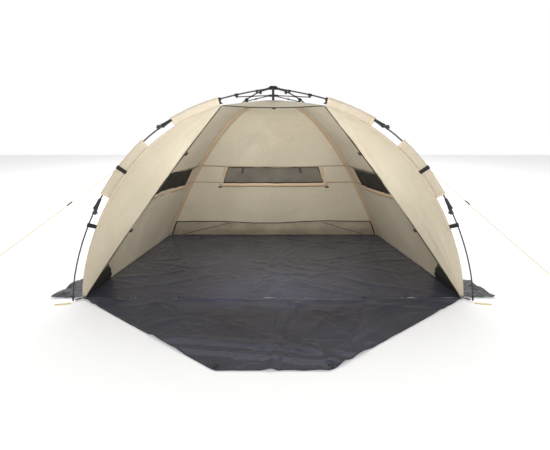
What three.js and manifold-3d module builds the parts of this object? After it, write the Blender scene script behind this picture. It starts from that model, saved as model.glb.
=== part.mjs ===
// An instant beach shelter: four hinged poles on an umbrella hub carry a canopy with an open front,
// over a ground sheet with a fold-out apron. Millimetres, +Z up, the opening faces -Y.
import * as THREE from "three";
import { mergeVertices } from "three/addons/utils/BufferGeometryUtils.js";
import Module from "manifold-3d";

const wasm = await Module();
wasm.setup();

// Poles
const HUB_HEIGHT = 1376;
const HUB_RADIUS = 30; // from the centre line to the pivots of the arms
const FOOT_HEIGHT = 8;
const FRONT_POLES = { reach: 1437, azimuth: 25.27, spread: 3.09, droop: 0.667, straight: 0.198 };
const REAR_POLES = { reach: 1550, azimuth: 42.25, spread: 1.7, droop: 1, straight: 0 };
const KNEE_1 = 840; // lengths along a pole, from the hub
const KNEE_2 = 1525;
const ARM_BORE = 5;
const MIDDLE_BORE = 4.75;
const LOWER_BORE = 4.25;
const FOOT_LENGTH = 34;
const ROD_SIDES = 8;

// Hinges of the poles
const GAP = 0.3; // between pieces that touch
const KNUCKLE_OFFSET = 16; // from a pole's centre line to the pivot of its knee
const EYE_RADIUS = 6.5;
const CHEEK_RADIUS = 7;
const CHEEK = { inner: 4, outer: 7 }; // sideways from the pole's centre line
const TONGUE_HALF = 3.5;
const PIN_RADIUS = 2;
const HINGE_REACH = 15; // along the pole, from the joint to the end of its fitting

// Locking sleeves
const SLEEVE = { start: 18, length: 75, wide: 14, narrow: 9, clearance: 2.3, travel: 45 };

// Hub
const CROWN = { radius: 27, top: 1392, bottom: 1384 };
const POST = { radius: 9, bottom: 1288 };
const RUNNER = { height: 1327, radius: 22, half: 7, bore: 10.5 };
const STRUT_SIDE = 12; // sideways from a pole's centre line
const STRUT_RADIUS = 3.5;
const BRACKET_AT = 258; // lengths along an arm
const INNER_BRACKET_AT = 100;
const BRACKET_DROP = 15;
const CLIP_AT = 385;

// Fabric
const CLOTH = 3; // thickness of the plain solids that stand for cloth
const CLOTH_OFFSET = 45; // from a pole's centre line to the cloth under it
const CLOTH_SAG = 35; // added to the offset at the hub
const CLOTH_TOP = 40; // radius of the hole in the canopy under the hub
const CLOTH_GAP = 7; // from a seam to the edge of each panel
const CLOTH_FOOT = 12; // lower edge of the panels above the ground
const HEM_RADIUS = 390; // of the front hem's two upper corners
const HEM_BOW = 25; // how far a side hem stands out from a straight line
const WINDOW = { top: 767, bottom: 614 };
const BACK_WINDOW = { from: 0.2, to: 0.8 };
const SIDE_WINDOW = { from: 0.3, to: 0.88 };
const MESH = 2;

// Ground
const FRONT = { x: 1264, y: -558 };
const REAR = { x: 1103, y: 1012 };
const SHEET = 2;
const APRON_LENGTH = 800;
const APRON_FRONT = 265;
const APRON_CUT = 26;
const HINGE_GAP = 4;
const FLAP = { tip: 1479, back: 1435, depth: 318 };

// Guy lines
const GUY_RADIUS = 1.5;
const GUY_AT = 1205; // lengths along a front pole
const GUY_START = 26;
const GUY_LIFT = 6; // from the pole's centre line
const GUY_PEGS = [
  { side: "left", x: -2064, y: -1021 },
  { side: "right", x: 1924, y: -850 },
];
const TENSIONER_SHARE = 0.235; // of the way from the pole to the peg
const PEG = { radius: 3.5, height: 32, hook: 11 };
const LOOP = { reach: 100, width: 10, radius: 1.8 };

const COLOURS = {
  pole: ["#3a3b3d", 0.45, 0.1],
  fitting: ["#18191a", 0.5, 0],
  steel: ["#8d9093", 0.35, 0.9],
  canopy: ["#c9bfa8", 0.85, 0],
  mesh: ["#57544c", 0.9, 0],
  sheet: ["#50515b", 0.4, 0],
  cord: ["#e6d67a", 0.7, 0],
};

const shelter = new THREE.Group();
const axes = {};

function material(name) {
  const [color, roughness, metalness] = COLOURS[name];
  return new THREE.MeshStandardMaterial({ color, roughness, metalness });
}

function add(group, name, geometry, finish) {
  const mesh = new THREE.Mesh(geometry, material(finish));
  mesh.name = name;
  group.add(mesh);
}

function solid(geometry) {
  const plain = geometry.index ? geometry.toNonIndexed() : geometry.clone();
  plain.deleteAttribute("normal");
  plain.deleteAttribute("uv");
  const merged = mergeVertices(plain, 1e-3);
  const vertProperties = merged.attributes.position.array;
  const triVerts = new Uint32Array(merged.index.array);
  return new wasm.Manifold(new wasm.Mesh({ numProp: 3, vertProperties, triVerts }));
}

function geometryOf(manifold) {
  const made = manifold.getMesh();
  const geometry = new THREE.BufferGeometry();
  geometry.setAttribute("position", new THREE.BufferAttribute(made.vertProperties, 3));
  geometry.setIndex(new THREE.BufferAttribute(made.triVerts, 1));
  return geometry;
}

// One geometry from several that overlap, less the cuts.
function joined(parts, cuts = []) {
  let whole = solid(parts[0]);
  for (const part of parts.slice(1)) whole = whole.add(solid(part));
  for (const cut of cuts) whole = whole.subtract(solid(cut));
  return geometryOf(whole);
}

function box(x0, x1, y0, y1, z0, z1) {
  const geometry = new THREE.BoxGeometry(x1 - x0, y1 - y0, z1 - z0);
  return geometry.translate((x0 + x1) / 2, (y0 + y1) / 2, (z0 + z1) / 2);
}

// A disc or pin across a pole, from y0 to y1.
function across(radius, x, z, y0, y1, sides = 12) {
  const geometry = new THREE.CylinderGeometry(radius, radius, y1 - y0, sides);
  return geometry.translate(x, (y0 + y1) / 2, z);
}

// A body of revolution about the X axis, from [x, radius] pairs that close on themselves.
function turned(profile, sides = 16) {
  const points = profile.map(([x, radius]) => new THREE.Vector2(radius, x));
  return new THREE.LatheGeometry(points, sides).rotateZ(-Math.PI / 2);
}

function along(x0, x1, radius, sides = 12) {
  return turned([[x0, 0], [x0, radius], [x1, radius], [x1, 0]], sides);
}

// A pole's centre line, in the upright plane of its leg: X is outward, Z is up.
class PoleCurve extends THREE.Curve {
  constructor({ reach, spread, droop, straight }) {
    super();
    Object.assign(this, { reach, spread, droop, straight, arcLengthDivisions: 800 });
  }
  getPoint(t, target = new THREE.Vector3()) {
    const share = Math.sin((Math.PI / 2) * THREE.MathUtils.clamp(t, 0, 1));
    const arch = Math.max(1 - share ** this.spread, 0) ** this.droop;
    const height = THREE.MathUtils.lerp(arch, 1 - share, this.straight);
    const x = THREE.MathUtils.lerp(HUB_RADIUS, this.reach, share);
    return target.set(x, 0, THREE.MathUtils.lerp(FOOT_HEIGHT, HUB_HEIGHT, height));
  }
}

class Stretch extends THREE.Curve {
  constructor(whole, from, to) {
    super();
    Object.assign(this, { whole, from, to });
  }
  getPoint(t, target = new THREE.Vector3()) {
    const length = this.from + (this.to - this.from) * t;
    return target.copy(this.whole.getPointAt(length / this.whole.getLength()));
  }
}

function tube(path, radius, steps) {
  const section = new THREE.Shape();
  for (let side = 0; side < ROD_SIDES; side++) {
    const angle = (2 * Math.PI * side) / ROD_SIDES;
    const point = [radius * Math.cos(angle), radius * Math.sin(angle)];
    if (side) section.lineTo(...point);
    else section.moveTo(...point);
  }
  return new THREE.ExtrudeGeometry(section, { extrudePath: path, steps });
}

// The frame at a length along a pole: X towards the foot, Y across, Z to the outer side.
function frameAt(curve, length) {
  const share = Math.min(length / curve.getLength(), 1);
  const tangent = curve.getTangentAt(share);
  const outward = new THREE.Vector3(-tangent.z, 0, tangent.x);
  const matrix = new THREE.Matrix4().makeBasis(tangent, new THREE.Vector3(0, 1, 0), outward);
  return matrix.setPosition(curve.getPointAt(share));
}

// The half of a knee on its hub side: two cheeks and a pin. up is 1 or -1, the pivot's side.
function fork(up) {
  const pivot = up * KNUCKLE_OFFSET;
  const [low, high] = up > 0 ? [0, pivot] : [pivot, 0];
  const parts = [along(-HINGE_REACH, -GAP / 2, CHEEK_RADIUS)];
  for (const side of [1, -1]) {
    const [y0, y1] = [side * CHEEK.inner, side * CHEEK.outer].sort((a, b) => a - b);
    parts.push(across(CHEEK_RADIUS, 0, pivot, y0, y1));
    parts.push(box(-HINGE_REACH, -2 * GAP, y0, y1, low, high));
  }
  parts.push(across(PIN_RADIUS, 0, pivot, -CHEEK.outer, CHEEK.outer, 10));
  return parts;
}

// The half on its foot side: a tongue with a hole for the pin.
function tongue(up) {
  const pivot = up * KNUCKLE_OFFSET;
  const [low, high] = up > 0 ? [0, pivot] : [pivot, 0];
  const body = joined(
    [
      along(GAP / 2, HINGE_REACH, CHEEK_RADIUS),
      across(EYE_RADIUS, 0, pivot, -TONGUE_HALF, TONGUE_HALF),
      box(2 * GAP, HINGE_REACH, -TONGUE_HALF, TONGUE_HALF, low, high),
    ],
    [across(PIN_RADIUS + GAP, 0, pivot, -2 * TONGUE_HALF, 2 * TONGUE_HALF, 10)],
  );
  return [body];
}

function placed(geometries, matrix) {
  return geometries.map((geometry) => geometry.clone().applyMatrix4(matrix));
}

// A sleeve round a rod, fat at its lower end, centred on its own middle.
function lockingSleeve(bore) {
  const { length, wide, narrow, clearance } = SLEEVE;
  const inner = bore + clearance;
  const [top, bottom] = [-length / 2, length / 2];
  return turned([
    [top, inner],
    [top, narrow],
    [bottom - 20, wide - 2],
    [bottom - 14, wide],
    [bottom, wide],
    [bottom, inner],
    [top, inner],
  ]);
}

function sleeveMiddle(knee) {
  return knee - SLEEVE.start - SLEEVE.length / 2;
}

function armOf(curve) {
  const eye = joined(
    [
      across(EYE_RADIUS, 0, 0, -TONGUE_HALF, TONGUE_HALF),
      box(0, HINGE_REACH, -TONGUE_HALF, TONGUE_HALF, -4, 4),
      along(HINGE_REACH - 4, HINGE_REACH + 8, CHEEK_RADIUS),
    ],
    [across(PIN_RADIUS + GAP, 0, 0, -2 * TONGUE_HALF, 2 * TONGUE_HALF, 10)],
  );
  const inner = [box(-8, 8, -6, 6, -14, 6), across(4.5, 0, -14, -6, 6)];
  return joined([
    tube(new Stretch(curve, HINGE_REACH, KNEE_1 - 4), ARM_BORE, 12),
    ...placed([eye], frameAt(curve, 0)),
    ...placed(inner, frameAt(curve, INNER_BRACKET_AT)),
    ...placed(fork(1), frameAt(curve, KNEE_1)),
  ]);
}

function middleOf(curve) {
  return joined([
    tube(new Stretch(curve, KNEE_1 + 4, KNEE_2 - 4), MIDDLE_BORE, 9),
    ...placed(tongue(1), frameAt(curve, KNEE_1)),
    ...placed(fork(-1), frameAt(curve, KNEE_2)),
  ]);
}

function lowerOf(curve) {
  const end = curve.getLength() - FOOT_LENGTH;
  return joined([
    tube(new Stretch(curve, KNEE_2 + 4, end), LOWER_BORE, 8),
    ...placed(tongue(-1), frameAt(curve, KNEE_2)),
  ]);
}

// A stepped plug below the pole's end, with an eye for the anchor pin.
function footOf(curve) {
  const frame = frameAt(curve, curve.getLength() - FOOT_LENGTH);
  const body = turned([
    [GAP, 0],
    [GAP, 7],
    [12, 7],
    [14, 5.5],
    [FOOT_LENGTH - 5, 5.5],
    [FOOT_LENGTH, 2.5],
    [FOOT_LENGTH, 0],
  ]);
  return joined(placed([body], frame), placed([across(1.8, 21, 0, -9, 9, 8)], frame));
}

function bracketOf(curve) {
  const frame = frameAt(curve, BRACKET_AT);
  const body = [box(-13, 13, -7, 7, -9, 8), across(6, 0, -BRACKET_DROP, -7, 7)];
  const web = box(-6, 6, -7, 7, -BRACKET_DROP, -8);
  const hole = along(-20, 20, ARM_BORE + 2 * GAP, 16);
  return joined(placed([...body, web], frame), placed([hole], frame));
}

// The strut's outer end lies beside the bracket's ear.
function strutEnds(curve) {
  const frame = frameAt(curve, BRACKET_AT);
  const ear = new THREE.Vector3(0, 0, -BRACKET_DROP).applyMatrix4(frame);
  return [new THREE.Vector3(HUB_RADIUS, 0, RUNNER.height), new THREE.Vector3(ear.x, 0, ear.z)];
}

function strutOf(curve) {
  const [inner, outer] = strutEnds(curve);
  const reach = inner.distanceTo(outer);
  const parts = [
    across(5.5, 0, 0, -2.8, 2.8),
    along(3, reach - 3, STRUT_RADIUS, 8),
    along(reach * 0.52, reach * 0.52 + 16, 6, 10),
    across(5.5, reach, 0, -2.8, 2.8),
  ];
  const holes = [across(2.3, 0, 0, -9, 9, 10), across(2.3, reach, 0, -9, 9, 10)];
  const slope = new THREE.Matrix4().makeRotationY(-Math.atan2(outer.z - inner.z, outer.x - inner.x));
  const place = new THREE.Matrix4().makeTranslation(inner.x, STRUT_SIDE, inner.z).multiply(slope);
  return joined(parts, holes).applyMatrix4(place);
}

// A clip round the arm, with a hook that holds the hem's corner.
function clipOf(curve) {
  const frame = frameAt(curve, CLIP_AT);
  const parts = [
    along(-9, 9, 11, 14),
    box(-6, 6, -4, 4, -34, -8),
    box(-14, 6, -4, 4, -34, -28),
  ];
  return joined(placed(parts, frame), placed([along(-12, 12, ARM_BORE + 2 * GAP, 16)], frame));
}

function worldPoint(azimuth, x, y, z) {
  return new THREE.Vector3(x, y, z).applyAxisAngle(new THREE.Vector3(0, 0, 1), azimuth);
}

function note(name, azimuth, point, axis) {
  const at = worldPoint(azimuth, point.x, 0, point.z).toArray();
  axes[name] = { at, axis: worldPoint(azimuth, axis.x, axis.y, axis.z).toArray() };
}

function buildLeg(name, pole, azimuthDegrees) {
  const azimuth = THREE.MathUtils.degToRad(azimuthDegrees);
  const curve = new PoleCurve(pole);
  const leg = new THREE.Group();
  leg.rotation.z = azimuth;
  add(leg, `arm_${name}`, armOf(curve), "pole");
  add(leg, `strut_bracket_${name}`, bracketOf(curve), "fitting");
  add(leg, `strut_${name}`, strutOf(curve), "fitting");
  add(leg, `middle_pole_${name}`, middleOf(curve), "pole");
  add(leg, `lower_pole_${name}`, lowerOf(curve), "pole");
  add(leg, `foot_${name}`, footOf(curve), "fitting");
  const upper = placed([lockingSleeve(ARM_BORE)], frameAt(curve, sleeveMiddle(KNEE_1)));
  const lower = placed([lockingSleeve(MIDDLE_BORE)], frameAt(curve, sleeveMiddle(KNEE_2)));
  add(leg, `upper_lock_${name}`, upper[0], "fitting");
  add(leg, `lower_lock_${name}`, lower[0], "fitting");
  shelter.add(leg);

  // Hinges turn about -Y of the leg, so a positive angle lifts the far end.
  const hinge = new THREE.Vector3(0, -1, 0);
  const knee1 = frameAt(curve, KNEE_1);
  const knee2 = frameAt(curve, KNEE_2);
  note(`arm_${name}`, azimuth, new THREE.Vector3(HUB_RADIUS, 0, curve.getPoint(0).z), hinge);
  note(`strut_${name}`, azimuth, strutEnds(curve)[0], hinge);
  note(`knee_1_${name}`, azimuth, new THREE.Vector3(0, 0, KNUCKLE_OFFSET).applyMatrix4(knee1), hinge);
  note(`knee_2_${name}`, azimuth, new THREE.Vector3(0, 0, -KNUCKLE_OFFSET).applyMatrix4(knee2), hinge);
  for (const [lock, at] of [["upper", KNEE_1], ["lower", KNEE_2]]) {
    const middle = sleeveMiddle(at) / curve.getLength();
    const halfway = (sleeveMiddle(at) - SLEEVE.travel / 2) / curve.getLength();
    note(`${lock}_lock_${name}`, azimuth, curve.getPointAt(middle), curve.getTangentAt(halfway).negate());
  }
}

function azimuthOf(pole, side, end) {
  const forward = end === "front" ? -pole.azimuth : pole.azimuth;
  return side === "right" ? forward : 180 - forward;
}

const LEGS = [
  ["front_left", FRONT_POLES, azimuthOf(FRONT_POLES, "left", "front")],
  ["front_right", FRONT_POLES, azimuthOf(FRONT_POLES, "right", "front")],
  ["rear_left", REAR_POLES, azimuthOf(REAR_POLES, "left", "rear")],
  ["rear_right", REAR_POLES, azimuthOf(REAR_POLES, "right", "rear")],
];

function buildHub() {
  const crown = [
    new THREE.CylinderGeometry(CROWN.radius, CROWN.radius + 2, CROWN.top - CROWN.bottom, 32)
      .rotateX(Math.PI / 2)
      .translate(0, 0, (CROWN.top + CROWN.bottom) / 2),
    new THREE.CylinderGeometry(13, 13, 20, 24).rotateX(Math.PI / 2).translate(0, 0, HUB_HEIGHT + 3),
  ];
  const half = RUNNER.half;
  const ring = new THREE.CylinderGeometry(RUNNER.radius, RUNNER.radius, 2 * half, 24);
  const runner = [ring.rotateX(Math.PI / 2).translate(0, 0, RUNNER.height)];
  for (const [, , azimuthDegrees] of LEGS) {
    const turn = new THREE.Matrix4().makeRotationZ(THREE.MathUtils.degToRad(azimuthDegrees));
    const lift = HUB_HEIGHT;
    for (const side of [1, -1]) {
      const [y0, y1] = [side * CHEEK.inner, side * CHEEK.outer].sort((a, b) => a - b);
      crown.push(...placed([
        across(CHEEK_RADIUS, HUB_RADIUS, lift, y0, y1),
        box(10, HUB_RADIUS, y0, y1, lift - CHEEK_RADIUS, CROWN.bottom + 1),
        box(HUB_RADIUS - 7, HUB_RADIUS + 5, y0, y1, lift, CROWN.bottom + 1),
      ], turn));
      const middle = STRUT_SIDE + side * 5.2;
      runner.push(...placed([
        across(6.5, HUB_RADIUS, RUNNER.height, middle - 1.7, middle + 1.7),
        box(10, HUB_RADIUS, middle - 1.7, middle + 1.7, RUNNER.height - 6.5, RUNNER.height + 6.5),
      ], turn));
    }
    crown.push(...placed([across(PIN_RADIUS, HUB_RADIUS, lift, -7, 7, 10)], turn));
    const [from, to] = [STRUT_SIDE - 6, STRUT_SIDE + 6];
    runner.push(...placed([across(PIN_RADIUS, HUB_RADIUS, RUNNER.height, from, to, 10)], turn));
  }
  const postTop = HUB_HEIGHT - 7 - GAP;
  const bore = new THREE.CylinderGeometry(RUNNER.bore, RUNNER.bore, 60, 24);
  const post = new THREE.CylinderGeometry(POST.radius, POST.radius, postTop - POST.bottom, 24);
  add(shelter, "crown", joined(crown), "fitting");
  add(shelter, "hub_post", post.rotateX(Math.PI / 2).translate(0, 0, (postTop + POST.bottom) / 2), "fitting");
  add(shelter, "runner", joined(runner, [bore.rotateX(Math.PI / 2).translate(0, 0, RUNNER.height)]), "fitting");
}

// A seam of the canopy under one pole: the point at a height.
function seamOf(pole, side, end, corner) {
  const curve = new PoleCurve(pole);
  const azimuth = THREE.MathUtils.degToRad(azimuthOf(pole, side, end));
  const samples = [];
  const total = curve.getLength();
  for (let step = 0; step <= 160; step++) {
    const length = (total * step) / 160;
    const frame = frameAt(curve, length);
    const sag = CLOTH_SAG * Math.max(0, 1 - length / CLIP_AT);
    const point = new THREE.Vector3(0, 0, -CLOTH_OFFSET - sag).applyMatrix4(frame);
    samples.push(worldPoint(azimuth, point.x, 0, point.z));
  }
  // The seam leaves the pole's plane towards the corner of the ground sheet.
  const last = samples[samples.length - 1].clone();
  const shift = new THREE.Vector3(corner.x * (side === "left" ? -1 : 1), corner.y, 0).sub(last);
  samples.forEach((point, index) => point.addScaledVector(shift, (index / 160) ** 5));
  return (height) => {
    let index = samples.findIndex((point) => point.z < height);
    if (index < 1) index = index === 0 ? 1 : samples.length - 1;
    const [above, below] = [samples[index - 1], samples[index]];
    const share = THREE.MathUtils.clamp((above.z - height) / (above.z - below.z), 0, 1);
    return new THREE.Vector3().lerpVectors(above, below, share);
  };
}

// A closed slab on a grid of points, with the cells of an opening left out.
// at(u, v) gives a point of the middle surface; us and vs are the grid lines.
function slab(at, us, vs, thickness, open = () => false) {
  const step = 1e-3;
  const positions = [];
  const index = [];
  const columns = us.length;
  for (const layer of [1, -1]) {
    for (const v of vs) {
      for (const u of us) {
        const du = at(u + step, v).sub(at(u - step, v));
        const dv = at(u, v + step).sub(at(u, v - step));
        const normal = du.cross(dv).normalize();
        const point = at(u, v).addScaledVector(normal, (layer * thickness) / 2);
        positions.push(...point.toArray());
      }
    }
  }
  const below = columns * vs.length;
  const vertex = (column, row) => row * columns + column;
  const solidCell = (column, row) =>
    column >= 0 && row >= 0 && column < us.length - 1 && row < vs.length - 1 && !open(column, row);
  const quad = (a, b, c, d) => index.push(a, b, c, a, c, d);
  for (let row = 0; row < vs.length - 1; row++) {
    for (let column = 0; column < us.length - 1; column++) {
      if (!solidCell(column, row)) continue;
      const [a, b] = [vertex(column, row), vertex(column + 1, row)];
      const [c, d] = [vertex(column + 1, row + 1), vertex(column, row + 1)];
      quad(a, b, c, d);
      quad(a + below, d + below, c + below, b + below);
      if (!solidCell(column, row - 1)) quad(b, a, a + below, b + below);
      if (!solidCell(column, row + 1)) quad(d, c, c + below, d + below);
      if (!solidCell(column - 1, row)) quad(a, d, d + below, a + below);
      if (!solidCell(column + 1, row)) quad(c, b, b + below, c + below);
    }
  }
  const geometry = new THREE.BufferGeometry();
  geometry.setAttribute("position", new THREE.Float32BufferAttribute(positions, 3));
  geometry.setIndex(index);
  if (solid(geometry).volume() < 0) {
    for (let face = 0; face < index.length; face += 3) {
      [index[face + 1], index[face + 2]] = [index[face + 2], index[face + 1]];
    }
    geometry.setIndex(index);
  }
  return geometry;
}

const seams = {
  frontLeft: seamOf(FRONT_POLES, "left", "front", FRONT),
  frontRight: seamOf(FRONT_POLES, "right", "front", FRONT),
  rearLeft: seamOf(REAR_POLES, "left", "rear", REAR),
  rearRight: seamOf(REAR_POLES, "right", "rear", REAR),
};

function heightAtRadius(seam, radius) {
  let [low, high] = [HUB_HEIGHT / 2, HUB_HEIGHT];
  for (let round = 0; round < 40; round++) {
    const middle = (low + high) / 2;
    const point = seam(middle);
    if (Math.hypot(point.x, point.y) > radius) low = middle;
    else high = middle;
  }
  return (low + high) / 2;
}

const ROWS = 12;
const COLUMNS = 6;

// A panel between two seams. v is the share of the way from the hub to the ground.
function panelSurface(one, other) {
  const tops = [heightAtRadius(one, CLOTH_TOP), heightAtRadius(other, CLOTH_TOP)];
  return (u, v) => {
    const fall = Math.cos((v * Math.PI) / 2);
    const [from, to] = [one, other].map((seam, end) => seam(CLOTH_FOOT + (tops[end] - CLOTH_FOOT) * fall));
    const inset = CLOTH_GAP / from.distanceTo(to);
    return from.lerp(to, inset + (1 - 2 * inset) * u);
  };
}

function rowAt(one, height) {
  const top = heightAtRadius(one, CLOTH_TOP);
  return (Math.acos((height - CLOTH_FOOT) / (top - CLOTH_FOOT)) * 2) / Math.PI;
}

function gridWith(count, marks) {
  const lines = Array.from({ length: count + 1 }, (_, n) => n / count);
  for (const mark of marks) {
    const nearest = lines.reduce((best, line, n) => (Math.abs(line - mark) < Math.abs(lines[best] - mark) ? n : best), 1);
    lines[nearest] = mark;
  }
  return lines;
}

function buildPanel(name, windowName, one, other, opening) {
  const surface = panelSurface(one, other);
  const us = gridWith(COLUMNS, [opening.from, opening.to]);
  const vs = gridWith(ROWS, [rowAt(one, WINDOW.top), rowAt(one, WINDOW.bottom)]);
  const [left, right] = [us.indexOf(opening.from), us.indexOf(opening.to)];
  const [top, bottom] = [vs.indexOf(rowAt(one, WINDOW.top)), vs.indexOf(rowAt(one, WINDOW.bottom))];
  const inWindow = (column, row) => column >= left && column < right && row >= top && row < bottom;
  add(shelter, name, slab(surface, us, vs, CLOTH, inWindow), "canopy");
  const [du, dv] = [0.012, 0.006];
  const inner = (u, v) => surface(us[left] + du + (us[right] - us[left] - 2 * du) * u,
    vs[top] + dv + (vs[bottom] - vs[top] - 2 * dv) * v);
  add(shelter, windowName, slab(inner, gridWith(3, []), gridWith(2, []), MESH), "mesh");
}

function hemPoint(side, height) {
  const sign = side === "left" ? -1 : 1;
  const azimuth = THREE.MathUtils.degToRad(azimuthOf(FRONT_POLES, side, "front"));
  const seam = side === "left" ? seams.frontLeft : seams.frontRight;
  const cornerHeight = heightAtRadius(seam, HEM_RADIUS);
  const corner = worldPoint(azimuth, HEM_RADIUS, 0, cornerHeight);
  const foot = new THREE.Vector3(sign * (FRONT.x - CLOTH_FOOT), FRONT.y, 0);
  const share = height / cornerHeight;
  const point = foot.lerp(corner, share);
  point.x += sign * HEM_BOW * 4 * share * (1 - share);
  return point;
}

function buildWing(side) {
  const seam = side === "left" ? seams.frontLeft : seams.frontRight;
  const cornerHeight = heightAtRadius(seam, HEM_RADIUS);
  const surface = (u, v) => {
    const height = THREE.MathUtils.lerp(cornerHeight - 22, 30, v);
    const [from, to] = [seam(height), hemPoint(side, height)];
    const inset = CLOTH_GAP / from.distanceTo(to);
    return from.lerp(to, inset + (1 - inset) * u);
  };
  add(shelter, `wing_${side}`, slab(surface, gridWith(2, []), gridWith(ROWS, []), CLOTH), "canopy");
}

function buildRoofFront() {
  const top = heightAtRadius(seams.frontLeft, CLOTH_TOP);
  const corner = heightAtRadius(seams.frontLeft, HEM_RADIUS);
  const surface = (u, v) => {
    const height = THREE.MathUtils.lerp(top, corner, Math.max(v, 0) ** 1.6);
    const [from, to] = [seams.frontLeft(height), seams.frontRight(height)];
    const inset = CLOTH_GAP / from.distanceTo(to);
    return from.lerp(to, inset + (1 - 2 * inset) * u);
  };
  add(shelter, "roof_front", slab(surface, gridWith(4, []), gridWith(5, []), CLOTH), "canopy");
}

// A flat piece on the ground, from its outline.
function flat(outline, thickness) {
  const shape = new THREE.Shape(outline.map(([x, y]) => new THREE.Vector2(x, y)));
  return new THREE.ExtrudeGeometry(shape, { depth: thickness, bevelEnabled: false });
}

function mirrored(points) {
  return [...points, ...points.map(([x, y]) => [-x, y]).reverse()];
}

function buildGround() {
  add(shelter, "ground_sheet", flat(mirrored([[FRONT.x, FRONT.y], [REAR.x, REAR.y]]), SHEET), "sheet");
  const edge = FRONT.y - HINGE_GAP;
  const apron = mirrored([
    [FRONT.x, edge],
    [APRON_FRONT + APRON_CUT, FRONT.y - APRON_LENGTH + APRON_CUT / 2],
    [APRON_FRONT, FRONT.y - APRON_LENGTH],
  ]);
  add(shelter, "apron", flat(apron, SHEET), "sheet");
  axes.apron = { at: [0, FRONT.y - HINGE_GAP / 2, SHEET / 2], axis: [1, 0, 0] };
  for (const [side, sign] of [["left", -1], ["right", 1]]) {
    const flap = [
      [sign * (FRONT.x + 3), FRONT.y],
      [sign * FLAP.tip, FRONT.y + 2],
      [sign * FLAP.back, FRONT.y + FLAP.depth],
      [sign * (FRONT.x - 27), FRONT.y + FLAP.depth],
    ];
    add(shelter, `sand_flap_${side}`, flat(flap, MESH), "sheet");
  }
}

// A ground peg: a round stake head with a hook, at the end of each guy line.
function buildGuyLine({ side, x, y }) {
  const azimuth = THREE.MathUtils.degToRad(azimuthOf(FRONT_POLES, side, "front"));
  const curve = new PoleCurve(FRONT_POLES);
  const frame = frameAt(curve, GUY_AT);
  const tie = new THREE.Vector3(0, 0, GUY_LIFT).applyMatrix4(frame);
  const pole = worldPoint(azimuth, tie.x, 0, tie.z);
  const away = new THREE.Vector3(x, y, 0).sub(pole).normalize();
  const start = pole.clone().addScaledVector(away, GUY_START);
  const end = new THREE.Vector3(x, y, PEG.height - 8).addScaledVector(away, -PEG.radius - 4);
  const length = start.distanceTo(end);
  const direction = end.clone().sub(start).normalize();
  const bodyHalf = 19;
  const at = length * TENSIONER_SHARE;
  const upper = new THREE.LineCurve3(start, start.clone().addScaledVector(direction, at - bodyHalf - GAP));
  const lower = new THREE.LineCurve3(start.clone().addScaledVector(direction, at + bodyHalf + GAP), end);
  const middle = start.clone().addScaledVector(direction, at);
  add(shelter, `guy_line_${side}_upper`, tube(upper, GUY_RADIUS, 4), "cord");
  add(shelter, `guy_line_${side}`, tube(lower, GUY_RADIUS, 12), "cord");
  const turn = new THREE.Quaternion().setFromUnitVectors(new THREE.Vector3(1, 0, 0), direction);
  const bar = box(-bodyHalf, bodyHalf, -5, 5, -3, 3).applyQuaternion(turn).translate(...middle.toArray());
  add(shelter, `tensioner_${side}`, bar, "fitting");
  axes[`tensioner_${side}`] = { at: middle.toArray(), axis: direction.clone().negate().toArray() };
  const stake = new THREE.CylinderGeometry(PEG.radius, PEG.radius, PEG.height, 10)
    .rotateX(Math.PI / 2)
    .translate(x, y, PEG.height / 2);
  const hook = new THREE.CylinderGeometry(PEG.radius, PEG.radius, PEG.hook * 2, 10)
    .rotateZ(Math.PI / 2)
    .translate(x + Math.sign(x) * (PEG.hook - PEG.radius), y, PEG.height - PEG.radius);
  add(shelter, `peg_${side}`, joined([stake, hook]), "steel");
}

// A cord loop on the ground beside a front foot.
function buildPegLoop(side) {
  const sign = side === "left" ? -1 : 1;
  const azimuth = THREE.MathUtils.degToRad(azimuthOf(FRONT_POLES, side, "front"));
  const root = worldPoint(azimuth, FRONT_POLES.reach - 30, 0, 0);
  const height = LOOP.radius + GAP;
  const points = [[0, 0], [0.3, 0.8], [0.75, 1], [0.97, 0.6], [1, 0.1], [0.88, -0.35], [0.45, -0.5], [0.08, -0.75]];
  const path = new THREE.CatmullRomCurve3(points.map(([out, wide]) => new THREE.Vector3(
    root.x + sign * (28 + LOOP.reach * out),
    root.y - 38 - 16 * out - LOOP.width * wide,
    height,
  )));
  add(shelter, `peg_loop_${side}`, tube(path, LOOP.radius, 22), "cord");
}

for (const leg of LEGS) buildLeg(...leg);
buildHub();
for (const [name, azimuth] of [["front_left", LEGS[0][2]], ["front_right", LEGS[1][2]]]) {
  const holder = new THREE.Group();
  holder.rotation.z = THREE.MathUtils.degToRad(azimuth);
  add(holder, `hem_clip_${name}`, clipOf(new PoleCurve(FRONT_POLES)), "fitting");
  shelter.add(holder);
}
const sideOpening = { from: SIDE_WINDOW.from, to: SIDE_WINDOW.to };
buildPanel("side_wall_left", "side_window_left", seams.frontLeft, seams.rearLeft, sideOpening);
buildPanel("side_wall_right", "side_window_right", seams.frontRight, seams.rearRight, sideOpening);
buildPanel("back_wall", "back_window", seams.rearLeft, seams.rearRight, BACK_WINDOW);
for (const side of ["left", "right"]) {
  buildWing(side);
  buildPegLoop(side);
}
buildRoofFront();
buildGround();
for (const peg of GUY_PEGS) buildGuyLine(peg);

shelter.userData.axes = axes;

export default shelter;
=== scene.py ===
import math

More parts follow.
